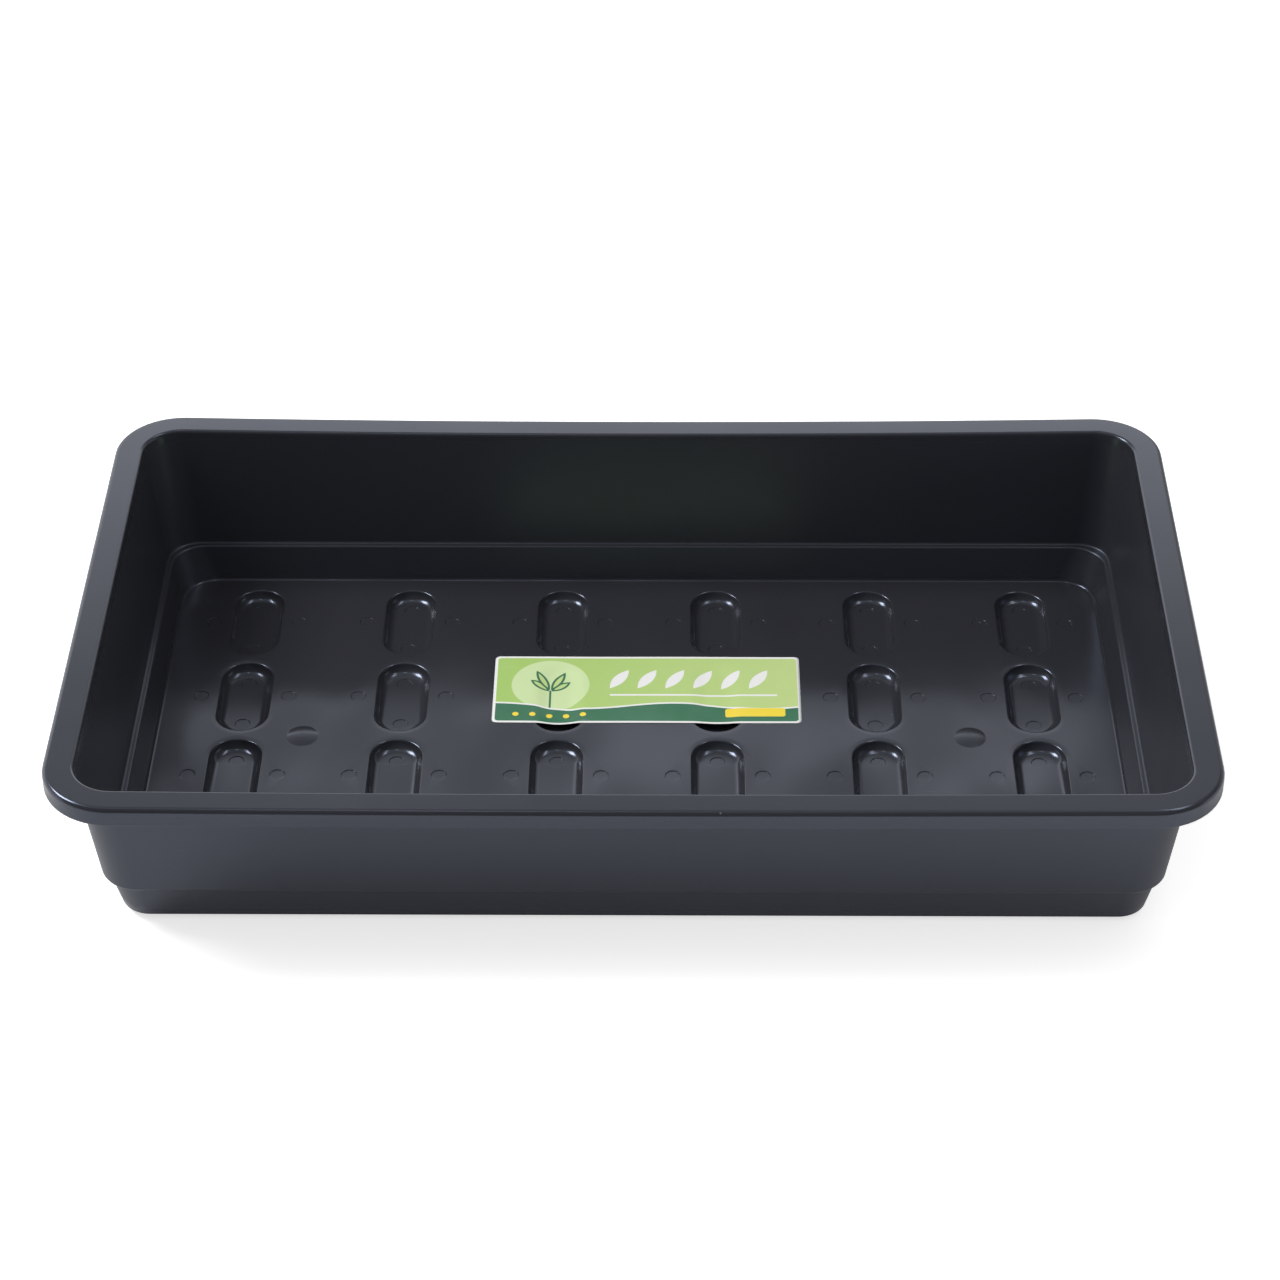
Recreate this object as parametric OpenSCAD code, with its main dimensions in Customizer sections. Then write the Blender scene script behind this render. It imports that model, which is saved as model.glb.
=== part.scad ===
// Open garden tray in one injection moulding, with a printed label on its floor.
// Millimetres, +Z up, +X along the length. The origin lies under the middle of the tray,
// on the surface that its feet stand on.

/* [Tray] */
// Length over the rim
tray_l = 570; // [540:1:600]
// Width over the rim
tray_w = 340; // [325:1:360]
// Height from the feet to the top of the rim
tray_h = 96.5; // [85:0.5:110]
// Wall thickness
wall = 2; // [1.6:0.1:2.4]

/* [Rim] */
// Width of the flat rim, from its outer edge to the mouth
rim_w = 15; // [13:0.5:17]
// Corner radius of the rim, seen from above
rim_r = 35.5; // [33:0.5:40]
// Height of the skirt turned down round the rim
skirt_h = 10.3; // [8:0.1:13]
// Radius of the rim's outer edge
rim_edge_r = 2.6; // [1.5:0.1:3]
// Radius of the lower edge of the skirt
skirt_edge_r = 0.7; // [0.3:0.1:0.9]
// Radius of the lip, where the rim turns down into the tray
lip_r = 1.8; // [1:0.1:2.4]

/* [Walls] */
// How far the upper wall leans in between the rim and the ledge
upper_run = 8; // [6:0.5:10]
// Corner radius of the upper wall at the ledge
ledge_r = 15; // [12:0.5:18]
// Width of the ledge
ledge_w = 3.3; // [3:0.1:4.5]
// Height of the ledge above the floor
ledge_up = 20; // [16:0.5:24]
// How far the lower wall leans in between the ledge and the floor
lower_run = 4.5; // [3:0.5:6]
// Corner radius of the lower wall at the ledge
well_r = 16.5; // [15:0.5:18]
// Fillet between the upper wall and the ledge
ledge_fillet = 1.4; // [0.8:0.1:1.6]
// Radius of the ledge's edge
ledge_edge_r = 1.2; // [0.6:0.1:1.4]
// Fillet between the lower wall and the floor
floor_fillet = 3; // [2:0.5:4]
// Radius under the step, outside the tray
step_r = 3; // [2:0.5:3.5]
// Radius of the base's outer edge
base_r = 4.5; // [3:0.5:5]

/* [Pockets] */
// Pockets along the tray
pocket_columns = 6; // [4:1:6]
// Pockets across the tray
pocket_rows = 4; // [2:1:4]
// Spacing of the pockets along the tray
pocket_pitch_x = 84.5; // [70:0.5:86]
// Spacing of the pockets across the tray
pocket_pitch_y = 66.5; // [64:0.5:68]
// Length of a pocket at the floor
pocket_l = 58.5; // [50:0.5:60]
// Width of a pocket at the floor
pocket_w = 27.5; // [24:0.5:30]
// Depth of a pocket below the floor
pocket_d = 4; // [3:0.5:5]
// How far a pocket's wall slopes in between the floor and its bottom
pocket_run = 4.6; // [4:0.1:5]
// Radius of a pocket's upper edge
pocket_edge_r = 1.5; // [0.8:0.1:2]
// Fillet round a pocket's bottom
pocket_fillet = 2.4; // [1:0.1:2.6]

/* [Gate wells] */
// Distance of each gate well from the middle of the tray
gate_x = 176.5; // [170:0.5:184]
// Diameter of a gate well at the floor
gate_d = 16.5; // [12:0.5:20]
// Depth of a gate well
gate_depth = 1.7; // [1:0.1:2.5]
// How far a gate well's wall slopes in
gate_run = 4; // [3:0.5:5]

/* [Label] */
// Length of the label
label_l = 165; // [120:1:180]
// Width of the label
label_w = 56.5; // [40:0.5:60]
// Thickness of the label
label_t = 0.3; // [0.2:0.05:0.5]
// Corner radius of the label
label_r = 2.5; // [1:0.5:5]
// Place of the label's middle along the tray
label_x = 4.3; // [-40:0.1:40]
// Place of the label's middle across the tray
label_y = 40; // [-40:0.5:60]

/* [Hidden] */
$fn = 64;

// Steps in each rounded corner of a profile
arc_steps = 6;
// Grid that the points of a profile are set to
grid = 0.001;
// How far a cutting solid stands past the face that it opens
clear = 1;

// Levels: the top of the floor, the ledge, and the lower edge of the skirt
floor_z = wall + pocket_d;
ledge_z = floor_z + ledge_up;
skirt_z = tray_h - skirt_h;
upper_h = tray_h - ledge_z;

// Distance of each tier's inner faces from the rim's outer edges, and their corner radii.
// A tier's corners turn about one upright axis, so their radius grows as the wall leans out.
ledge_inset = rim_w + upper_run;
well_inset = ledge_inset + ledge_w;
floor_inset = well_inset + lower_run;
mouth_r = ledge_r + upper_run;
floor_r = well_r - lower_run;

// How far each wall leans out for each millimetre of height
upper_flare = upper_run / upper_h;
lower_flare = lower_run / ledge_up;

// Slope of a pocket's wall, and how much wider its foot is than the pocket at one level
pocket_slope = pocket_run / pocket_d;
foot_gain = wall * sqrt(1 + pow(pocket_slope, 2));
gate_slope = gate_run / gate_depth;
gate_gain = wall * sqrt(1 + pow(gate_slope, 2));

function xy(p) = [p.x, p.y];

function unit(v) = v / norm(v);

// Arc that replaces corner b of the path a, b, c, where b is [x, y] or [x, y, radius]
function corner(a, b, c) =
    len(b) < 3 ? [b] :
    let (
        u = unit(xy(a) - xy(b)),
        v = unit(xy(c) - xy(b)),
        half = acos(u * v) / 2,
        middle = xy(b) + unit(u + v) * b[2] / sin(half),
        first = xy(b) + u * b[2] / tan(half) - middle,
        last = xy(b) + v * b[2] / tan(half) - middle,
        from = atan2(first.y, first.x),
        turn = (atan2(last.y, last.x) - from + 540) % 360 - 180
    )
    [for (i = [0:arc_steps])
        middle + b[2] * [cos(from + turn * i / arc_steps), sin(from + turn * i / arc_steps)]];

// Closed path with each [x, y, radius] corner rounded. Its points are set to the grid, so that
// the solids drawn from one path meet exactly.
function rounded(path) =
    let (n = len(path))
    [for (i = [0:n - 1])
        each [for (p = corner(path[(i + n - 1) % n], path[i], path[(i + 1) % n]))
            [round(p.x / grid) * grid, round(p.y / grid) * grid]]];

// Both halves of a section, from the half that runs up its right-hand side
function both_halves(path) =
    concat(path, [for (i = [len(path) - 1:-1:0]) [-path[i].x, path[i].y]]);

// How far past a wall's top the edge round it reaches along the flat
function edge_reach(r, flare) = r * tan(45 - atan(flare) / 2);

// Section carried along X between two ends
module along_x(length) {
    rotate([90, 0, 90])
        linear_extrude(length, center = true)
            children();
}

// Section carried along Y between two ends
module along_y(length) {
    rotate([90, 0, 0])
        linear_extrude(length, center = true)
            children();
}

// Solid tier with rounded corners. The path gives [distance from the corner axis, height above z]
// up its side, and the corner axes stand at inset from the tray's outer edges.
module tier(z, inset, path) {
    ax = tray_l / 2 - inset;
    ay = tray_w / 2 - inset;
    translate([0, 0, z]) {
        along_x(2 * ax)
            polygon(both_halves([for (p = path) [ay + p.x, p.y]]));
        along_y(2 * ay)
            polygon(both_halves([for (p = path) [ax + p.x, p.y]]));
        for (mx = [0, 1], my = [0, 1])
            mirror([mx, 0, 0])
                mirror([0, my, 0])
                    translate([ax, ay, 0])
                        rotate_extrude(angle = 90)
                            polygon(path);
    }
}

// Round-ended solid along Y, from the half section that runs up its side
module slot(length, path) {
    along_y(length)
        polygon(both_halves(path));
    for (turn = [0, 180])
        rotate(turn)
            translate([0, length / 2, 0])
                rotate_extrude(angle = 180)
                    polygon(path);
}

// Rim with its skirt, still closed over the mouth
module rim() {
    difference() {
        tier(skirt_z, rim_r, rounded([
            [0, 0],
            [rim_r, 0, skirt_edge_r],
            [rim_r, skirt_h, rim_edge_r],
            [0, skirt_h]
        ]));
        tier(skirt_z, rim_r, rounded([
            [0, -clear],
            [rim_r - wall, -clear],
            [rim_r - wall, skirt_h - wall, rim_edge_r - wall / 2],
            [0, skirt_h - wall]
        ]));
    }
}

// Outside of the upper wall, down to the step
module upper_wall() {
    top = upper_h - wall / 2;
    tier(ledge_z, ledge_inset + ledge_r, rounded([
        [0, -wall],
        [ledge_r + wall - upper_flare * wall, -wall, step_r],
        [ledge_r + wall + upper_flare * top, top],
        [0, top]
    ]));
}

// Outside of the lower wall, with the base
module lower_wall() {
    top = ledge_up - wall / 2;
    tier(floor_z, floor_inset + floor_r, rounded([
        [0, -wall],
        [floor_r + wall - lower_flare * wall, -wall, base_r],
        [floor_r + wall + lower_flare * top, top],
        [0, top]
    ]));
}

// Space inside the upper wall, opening over the lip
module upper_space() {
    lip = mouth_r + edge_reach(lip_r, upper_flare);
    tier(ledge_z, ledge_inset + ledge_r, rounded([
        [0, 0],
        [ledge_r, 0, ledge_fillet],
        [mouth_r, upper_h, lip_r],
        [lip, upper_h],
        [lip, upper_h + clear],
        [0, upper_h + clear]
    ]));
}

// Space inside the lower wall, opening over the ledge
module lower_space() {
    edge = well_r + edge_reach(ledge_edge_r, lower_flare);
    tier(floor_z, floor_inset + floor_r, rounded([
        [0, 0],
        [floor_r, 0, floor_fillet],
        [well_r, ledge_up, ledge_edge_r],
        [edge, ledge_up],
        [edge, ledge_up + clear],
        [0, ledge_up + clear]
    ]));
}

// Recess of one pocket, below the floor
module pocket() {
    half_w = pocket_w / 2;
    edge = half_w + edge_reach(pocket_edge_r, pocket_slope);
    slot(pocket_l - pocket_w, rounded([
        [0, -pocket_d],
        [half_w - pocket_run, -pocket_d, pocket_fillet],
        [half_w, 0, pocket_edge_r],
        [edge, 0],
        [edge, clear],
        [0, clear]
    ]));
}

// Foot that one pocket makes under the base
module foot() {
    bottom = pocket_w / 2 - pocket_run + foot_gain - wall * pocket_slope;
    slot(pocket_l - pocket_w, rounded([
        [0, -floor_z],
        [bottom, -floor_z, pocket_edge_r],
        [bottom + pocket_slope * (floor_z - wall / 2), -wall / 2],
        [0, -wall / 2]
    ]));
}

// Shallow dish where the moulding was fed
module gate_well() {
    half_d = gate_d / 2;
    rotate_extrude()
        polygon(rounded([
            [0, -gate_depth],
            [half_d - gate_run, -gate_depth, gate_depth],
            [half_d, 0],
            [half_d, clear],
            [0, clear]
        ]));
}

// Underside of a gate well
module gate_boss() {
    bottom = gate_d / 2 - gate_run + gate_gain - wall * gate_slope;
    rotate_extrude()
        polygon([
            [0, -gate_depth - wall],
            [bottom, -gate_depth - wall],
            [bottom + gate_slope * (gate_depth + wall / 2), -wall / 2],
            [0, -wall / 2]
        ]);
}

// Copies on the floor, one for each pocket
module at_pockets() {
    for (column = [0:pocket_columns - 1], row = [0:pocket_rows - 1])
        translate([
            (column - (pocket_columns - 1) / 2) * pocket_pitch_x,
            (row - (pocket_rows - 1) / 2) * pocket_pitch_y,
            floor_z
        ])
            children();
}

// Copies on the floor, one for each gate well
module at_gates() {
    for (side = [-1, 1])
        translate([side * gate_x, 0, floor_z])
            children();
}

module tray() {
    color("#26282c")
        difference() {
            union() {
                rim();
                upper_wall();
                lower_wall();
                at_pockets() foot();
                at_gates() gate_boss();
            }
            upper_space();
            lower_space();
            at_pockets() pocket();
            at_gates() gate_well();
        }
}

module label() {
    color("#8cc63f")
        translate([label_x, label_y, floor_z])
            linear_extrude(label_t) {
                square([label_l - 2 * label_r, label_w], center = true);
                square([label_l, label_w - 2 * label_r], center = true);
                for (sx = [-1, 1], sy = [-1, 1])
                    translate([sx * (label_l / 2 - label_r), sy * (label_w / 2 - label_r)])
                        circle(label_r);
            }
}

tray();
label();
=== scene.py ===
"""Open garden tray with a printed label on its floor, dressed for a studio picture.

The packed solids give the size and the place of both pieces. The shell is drawn again with finer
edges, corner axes that lean with the walls and the small marks of the mould, and the label is a
thin film that settles into the pockets under it.
"""

import math

import bmesh
import bpy
from bpy.props import FloatProperty, FloatVectorProperty, IntProperty, PointerProperty
from mathutils import Matrix, Vector
from mathutils.geometry import delaunay_2d_cdt


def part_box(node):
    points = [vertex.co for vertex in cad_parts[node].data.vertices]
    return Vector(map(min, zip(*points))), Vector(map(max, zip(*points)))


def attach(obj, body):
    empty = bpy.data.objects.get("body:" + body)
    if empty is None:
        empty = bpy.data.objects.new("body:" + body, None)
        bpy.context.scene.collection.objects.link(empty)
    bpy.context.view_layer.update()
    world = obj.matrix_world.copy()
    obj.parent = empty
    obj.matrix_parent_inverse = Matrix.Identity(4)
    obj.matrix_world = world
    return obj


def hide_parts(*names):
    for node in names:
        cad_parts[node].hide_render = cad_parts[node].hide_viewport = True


bl_info = {
    "name": "Garden tray",
    "version": (1, 0, 0),
    "blender": (4, 5, 0),
    "location": "View3D > Sidebar > Tray",
    "description": "Builds a moulded garden tray, its label and a small studio",
    "category": "Object",
}

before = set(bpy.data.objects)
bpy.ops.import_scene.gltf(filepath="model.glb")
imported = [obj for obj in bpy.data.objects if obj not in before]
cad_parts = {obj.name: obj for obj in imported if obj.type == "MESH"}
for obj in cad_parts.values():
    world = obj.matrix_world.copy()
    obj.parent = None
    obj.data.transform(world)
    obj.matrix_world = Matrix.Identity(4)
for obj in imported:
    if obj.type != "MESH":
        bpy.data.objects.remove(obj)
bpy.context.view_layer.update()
TRAY_LOW, TRAY_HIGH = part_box("tray")
LABEL_LOW, LABEL_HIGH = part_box("label")
TRAY_SPAN = TRAY_HIGH - TRAY_LOW
LABEL_SPAN = LABEL_HIGH - LABEL_LOW

MM = 0.001

# The film lies a little off the place of its solid, and is a little wider.
LABEL_SHIFT = Vector((1.2, -0.6, 0.0)) * MM
LABEL_MIDDLE = (LABEL_LOW + LABEL_HIGH) / 2 + LABEL_SHIFT
LABEL_SPARE = 1.2

# Height of the floor above the feet, in millimetres, for the shape and for its finish.
FLOOR_HEIGHT = 6.0

# Steps that round and long forms are divided into.
CORNER_STEPS = 14
LONG_STEPS = 30
SHORT_STEPS = 18
END_STEPS = 18
ROUND_STEPS = 24
FILM_BEND = 6
FILM_ROWS = 30
FILM_COLUMNS = 96
ARCH_STEPS = 48

# Distance below which points of the shell and of its pockets become one.
WELD = 1e-5

# Straight run before the first corner of a profile and after its last.
LEAD = 10 * MM

# Small radii of the shell, of the feet and of the swellings under the gate buttons.
WELL_EDGE = 1.2 * MM
LEDGE_FILLET = 1.4 * MM
SKIRT_EDGE = 0.7 * MM
SKIRT_INNER_EDGE = 0.5 * MM
RIM_ROOT = 1.0 * MM
STEP_EDGE = 3.0 * MM
STEP_FILLET = 0.5 * MM
HALO_RADIUS = 18 * MM
FOOT_ROOT = 0.8 * MM
FOOT_EDGE = 1.5 * MM
SWELLING_ROOT = 0.4 * MM
SWELLING_EDGE = 1.0 * MM

# Rings of a gate button's dome, as shares of its radius.
DOME_RINGS = (1.0, 0.97, 0.9, 0.8, 0.68, 0.54, 0.38, 0.2)

# Edge of a pin mark: how far in, in millimetres, and the share of its depth.
PIN_EDGE = ((0.0, 0.0), (0.04, 0.15), (0.26, 0.85), (0.3, 1.0))

# Shares of the worn colour, and what each mark adds to the plastic's roughness.
TONE_SHARE = 0.35
SCRATCH_SHARE = 0.3
MOTTLE = 0.08
RUBBED_ROUGHNESS = 0.05
DUST_ROUGHNESS = 0.3

# Leaves of the print's sprig: lean in degrees and length in millimetres.
SPRIG = ((38.0, 13.0), (142.0, 13.0), (64.0, 17.0), (116.0, 17.0))

# Light of the room in reflections, by degrees from the floor behind over the top to the floor in front.
ROOM_LIGHT = (
    (0, 1.2), (25, 1.3), (31, 1.75), (33.5, 1.7), (36.5, 1.08), (39.8, 0.27), (42, 0.47),
    (47, 0.48), (54, 0.24), (74, 0.24), (80, 0.37), (103, 0.37), (108, 0.05), (180, 0.04),
)

# Where the room grows dim to the right, in metres, and the share of its light that is left there.
ROOM_SHADE = (0.75, 1.15)
ROOM_RIGHT = 0.38

# Place, target and panel of each lamp, in metres.
TRAY_MIDDLE = (0.0, 0.0, 0.05)
FRONT_FLOOR = (0.2, -0.2, 0.0)
LAMPS = {
    "key": ((-1.72, 0.39, 1.9), TRAY_MIDDLE, (0.9, 0.9)),
    "fill": ((1.0, 0.37, 2.45), TRAY_MIDDLE, (1.6, 0.35)),
    "top": ((-0.26, -0.33, 2.5), TRAY_MIDDLE, (0.25, 0.25)),
    "front": ((0.55, -0.6, 0.15), FRONT_FLOOR, (0.2, 0.1)),
}


def size(name, description, millimetres):
    """Length property with its default in millimetres."""
    metres = millimetres * MM
    return FloatProperty(
        name=name, description=description, default=metres, precision=5, unit="LENGTH", subtype="DISTANCE"
    )


def factor(name, description, value):
    """Plain number from 0 to 1."""
    return FloatProperty(
        name=name, description=description, default=value, min=0.0, max=1.0, subtype="FACTOR"
    )


def colour(name, description, value):
    """Linear colour."""
    return FloatVectorProperty(
        name=name, description=description, default=value, size=3, min=0.0, max=1.0, subtype="COLOR"
    )


def angle(name, description, degrees):
    """Angle property with its default in degrees."""
    return FloatProperty(
        name=name, description=description, default=math.radians(degrees), unit="ROTATION", subtype="ANGLE"
    )


def power(name, description, watts):
    """Power of a lamp."""
    return FloatProperty(name=name, description=description, default=watts, unit="POWER")


class TrayShape(bpy.types.PropertyGroup):
    """Sizes of the moulded shell."""

    length: size("Length", "Length over the rim", TRAY_SPAN.x / MM)
    width: size("Width", "Width over the rim", TRAY_SPAN.y / MM)
    height: size("Height", "Height from the feet to the rim", TRAY_SPAN.z / MM)
    wall: size("Wall", "Thickness of the floor and the rim", 2.0)
    skin: size("Skin", "Thickness of the upper wall and the ledge", 1.2)
    floor_height: size("Floor height", "Top of the floor above the feet", FLOOR_HEIGHT)
    rim_width: size("Rim width", "Width of the flat rim", 15.0)
    rim_corner: size("Rim corner", "Corner radius of the rim, seen from above", 35.5)
    rim_edge: size("Rim edge", "Radius of the rim's outer edge", 2.6)
    lip_edge: size("Lip", "Radius where the rim turns down into the tray", 1.8)
    skirt_height: size("Skirt height", "Height of the skirt turned down round the rim", 10.3)
    upper_run: size("Upper run", "How far the upper wall leans in down to the ledge", 8.0)
    ledge_corner: size("Ledge corner", "Corner radius of the upper wall at the ledge", 18.0)
    ledge_width: size("Ledge width", "Width of the ledge", 3.3)
    ledge_rise: size("Ledge rise", "Height of the ledge above the floor", 20.0)
    well_corner: size("Well corner", "Corner radius of the lower wall at the ledge", 16.5)
    lower_run: size("Lower run", "How far the lower wall leans in down to the floor", 4.5)
    floor_corner: size("Floor corner", "Corner radius of the floor", 20.0)
    base_corner: size("Base corner", "Corner radius of the base outside", 14.0)
    floor_fillet: size("Floor fillet", "Fillet between the lower wall and the floor", 1.6)
    base_edge: size("Base edge", "Radius of the base's outer edge", 0.8)
    sag: size("Sag", "How far the long sides of the rim dip in the middle", 2.4)
    bow: size("Bow", "How far the long sides of the rim draw in in the middle", 1.0)


class PocketShape(bpy.types.PropertyGroup):
    """Sizes of the pockets, the gate buttons and the marks of the ejector pins."""

    columns: IntProperty(name="Columns", description="Pockets along the tray", default=6, min=1)
    rows: IntProperty(name="Rows", description="Pockets across the tray", default=4, min=1)
    shift: size("Shift", "How far the pockets lie to the right of the middle", 0.8)
    pitch_x: size("Pitch along", "Spacing of the pockets along the tray", 84.5)
    pitch_y: size("Pitch across", "Spacing of the pockets across the tray", 66.5)
    length: size("Length", "Length of a pocket at the floor", 58.5)
    width: size("Width", "Width of a pocket at the floor", 27.5)
    depth: size("Depth", "Depth of a pocket below the floor", 5.2)
    run: size("Run", "How far a pocket's wall slopes in", 1.7)
    edge: size("Edge", "Radius of a pocket's upper edge", 1.2)
    halo: size("Halo", "Width of the soft slope round a pocket", 3.0)
    halo_drop: size("Halo drop", "Fall of the soft slope round a pocket", 0.1)
    fillet: size("Fillet", "Fillet round a pocket's bottom", 5.5)
    foot_depth: size("Foot depth", "Height of the foot under a pocket", 4.0)
    foot_run: size("Foot run", "How far a foot's wall slopes in", 4.6)
    gate_x: size("Gate place", "Distance of a gate button from the middle", 176.5)
    gate_y: size("Gate offset", "How far the gate buttons lie behind the middle", -1.0)
    gate_width: size("Gate width", "Diameter of a gate button", 17.2)
    gate_dome: size("Gate dome", "Height of a gate button's low dome", 1.0)
    gate_depth: size("Gate swelling", "Height of the swelling under a gate button", 1.7)
    gate_run: size("Gate run", "How far the swelling under a gate button slopes in", 4.0)
    pin_width: size("Pin width", "Diameter of an ejector pin's mark", 8.4)
    pin_depth: size("Pin depth", "Depth of an ejector pin's mark", 0.4)
    pin_side: size("Pin beside", "Distance of the marks beside a pocket from its middle", 23.5)
    pin_end: size("Pin inside", "Distance of the marks in a pocket from its middle", 17.5)


class LabelShape(bpy.types.PropertyGroup):
    """Size and print of the label."""

    length: size("Length", "Length of the label", LABEL_SPAN.x / MM)
    width: size("Width", "Width of the label", LABEL_SPAN.y / MM + LABEL_SPARE)
    corner: size("Corner", "Corner radius of the label", 2.5)
    film: size("Film", "Thickness of the label", 0.2)
    dip: size("Dip", "How far the label sinks into the deeper of its pockets", 1.5)
    ground: colour("Ground", "Lime green of the print", (0.38, 0.6, 0.13))
    ground_pale: colour("Pale ground", "Paler lime towards one end", (0.54, 0.7, 0.26))
    band: colour("Band", "Dark green of the band", (0.015, 0.155, 0.07))
    block: colour("Block", "Yellow of the block", (0.94, 0.72, 0.03))
    disc: colour("Disc", "Pale green of the disc", (0.62, 0.78, 0.4))
    paper: colour("Paper", "White of the border and the light shapes", (0.88, 0.88, 0.87))


class PlasticFinish(bpy.types.PropertyGroup):
    """Finish of the moulded plastic."""

    black: colour("Black", "Colour of the plastic", (0.027, 0.0277, 0.034))
    worn: colour("Worn", "Colour where the surface is rubbed or dusty", (0.0415, 0.042, 0.047))
    dust: colour("Dust", "Colour of the specks of dust", (0.16, 0.16, 0.155))
    sheen: colour("Sheen", "Tint of the reflections", (0.67, 0.77, 1.0))
    roughness: factor("Roughness", "Roughness of the floor and the rim", 0.19)
    satin: factor("Satin", "Roughness that the drawn walls have beyond that", 0.15)
    ripple: size("Ripple", "Height of the slow waves in the floor", 5.0)
    grain: size("Grain", "Height of the fine grain", 0.004)


class StudioSetup(bpy.types.PropertyGroup):
    """Camera and light."""

    camera_place: FloatVectorProperty(
        name="Camera",
        description="Place of the camera",
        default=(0.01918, -1.41413, 1.13865),
        size=3,
        unit="LENGTH",
        subtype="TRANSLATION",
    )
    pitch: angle("Pitch", "How far the camera looks down", 37.093)
    yaw: angle("Yaw", "How far the camera turns to the right", -0.681)
    roll: angle("Roll", "How far the camera leans", 0.281)
    lens: FloatProperty(name="Lens", description="Focal length, 36 mm sensor", default=96.27, unit="CAMERA")
    floor: colour("Floor", "Colour of the studio floor", (0.9, 0.9, 0.9))
    key: power("Key", "Power of the lamp on the left", 42.0)
    fill: power("Fill", "Power of the lamp on the right", 8.0)
    top: power("Top", "Power of the lamp overhead", 0.8)
    front: power("Front", "Power of the low lamp in front", 0.6)
    room: factor("Room", "Light of the room that falls on matt surfaces", 0.5)
    lift: factor("Lift", "Light that the floor adds for the camera alone", 0.6)


class Skin:
    """Points and faces of a mesh while it is put together."""

    def __init__(self):
        self.points = []
        self.faces = []

    def ring(self, points):
        first = len(self.points)
        self.points.extend(points)
        return list(range(first, len(self.points)))

    def bridge(self, one, two):
        """Quads between two rings of equal length."""
        count = len(one)
        for i in range(count):
            j = (i + 1) % count
            self.faces.append((one[i], one[j], two[j], two[i]))

    def tube(self, rings):
        """Rings one after another, joined. Returns the indices of the first and the last."""
        placed = [self.ring(points) for points in rings]
        for one, two in zip(placed, placed[1:]):
            self.bridge(one, two)
        return placed[0], placed[-1]

    def cap(self, outline, holes=()):
        """Flat triangles inside a ring, with round holes left open."""
        loops = [outline, *holes]
        index = [i for loop in loops for i in loop]
        flat = [Vector(self.points[i][:2]) for i in index]
        edges = []
        for loop in loops:
            first = len(edges)
            count = len(loop)
            edges.extend((first + i, first + (i + 1) % count) for i in range(count))
        made, _, triangles, source, _, _ = delaunay_2d_cdt(flat, edges, [], 1, 1e-8)
        if len(made) != len(flat):
            raise RuntimeError("the rings of a flat face cross each other")
        for triangle in triangles:
            corners = [index[source[k][0]] for k in triangle]
            middle = sum((Vector(self.points[i][:2]) for i in corners), Vector((0, 0))) / 3
            if not any(self.holds(hole, middle) for hole in holes):
                self.faces.append(tuple(corners))

    def holds(self, loop, place):
        """True if a round loop holds a place."""
        sign = 0
        for i, j in zip(loop, loop[1:] + loop[:1]):
            a = self.points[i]
            b = self.points[j]
            turn = (b[0] - a[0]) * (place.y - a[1]) - (b[1] - a[1]) * (place.x - a[0])
            if sign == 0:
                sign = 1 if turn > 0 else -1
            elif turn * sign < 0:
                return False
        return True

    def mesh(self, name):
        mesh = bpy.data.meshes.new(name)
        mesh.from_pydata(self.points, [], self.faces)
        mesh.validate()
        return mesh


def soften(path, steps=6):
    """Stations of a profile with its inner corners rounded.

    A path point is (offset, height, radius, corner axis), and a station (offset, height, axis).
    """
    stations = []
    for before, at, after in zip(path, path[1:], path[2:]):
        a, b, c = (Vector(point[:2]) for point in (before, at, after))
        u = (a - b).normalized()
        v = (c - b).normalized()
        half = u.angle(v) / 2
        reach = at[2] / math.tan(half)
        middle = b + (u + v).normalized() * (at[2] / math.sin(half))
        first = b + u * reach - middle
        last = b + v * reach - middle
        start = math.atan2(first.y, first.x)
        turn = math.remainder(math.atan2(last.y, last.x) - start, math.tau)
        axis_in = at[3] + (before[3] - at[3]) * reach / (a - b).length
        axis_out = at[3] + (after[3] - at[3]) * reach / (c - b).length
        for k in range(steps + 1):
            t = k / steps
            x = middle.x + at[2] * math.cos(start + turn * t)
            z = middle.y + at[2] * math.sin(start + turn * t)
            stations.append((x, z, axis_in + (axis_out - axis_in) * t))
    return stations


def shell_profile(tray):
    """Path of the skin: up the inside from the floor, over the rim and down the outside."""
    wall = tray.wall
    skin = tray.skin
    floor_z = tray.floor_height
    ledge_z = floor_z + tray.ledge_rise
    ledge = tray.rim_width + tray.upper_run
    well = ledge + tray.ledge_width
    floor = well + tray.lower_run
    axis_ledge = ledge + tray.ledge_corner
    axis_well = well + tray.well_corner
    axis_floor = floor + tray.floor_corner
    axis_base = floor + tray.base_corner
    upper = tray.upper_run / (tray.height - ledge_z)
    lower = tray.lower_run / tray.ledge_rise
    skirt_z = tray.height - tray.skirt_height
    under = tray.height - wall
    rim = tray.rim_corner
    return [
        (floor + LEAD, floor_z, 0.0, axis_floor),
        (floor, floor_z, tray.floor_fillet, axis_floor),
        (well, ledge_z, WELL_EDGE, axis_well),
        (ledge, ledge_z, LEDGE_FILLET, axis_ledge),
        (tray.rim_width, tray.height, tray.lip_edge, rim),
        (0.0, tray.height, tray.rim_edge, rim),
        (0.0, skirt_z, SKIRT_EDGE, rim),
        (wall, skirt_z, SKIRT_INNER_EDGE, rim),
        (wall, under, tray.rim_edge - wall / 2, rim),
        (tray.rim_width - skin + upper * wall, under, RIM_ROOT, rim),
        (ledge - skin + upper * skin, ledge_z - skin, STEP_EDGE, axis_ledge),
        (well - wall + lower * wall, ledge_z - skin, STEP_FILLET, axis_well),
        (floor - wall + lower * wall, floor_z - wall, tray.base_edge, axis_base),
        (floor + LEAD, floor_z - wall, 0.0, axis_base),
    ]


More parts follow.
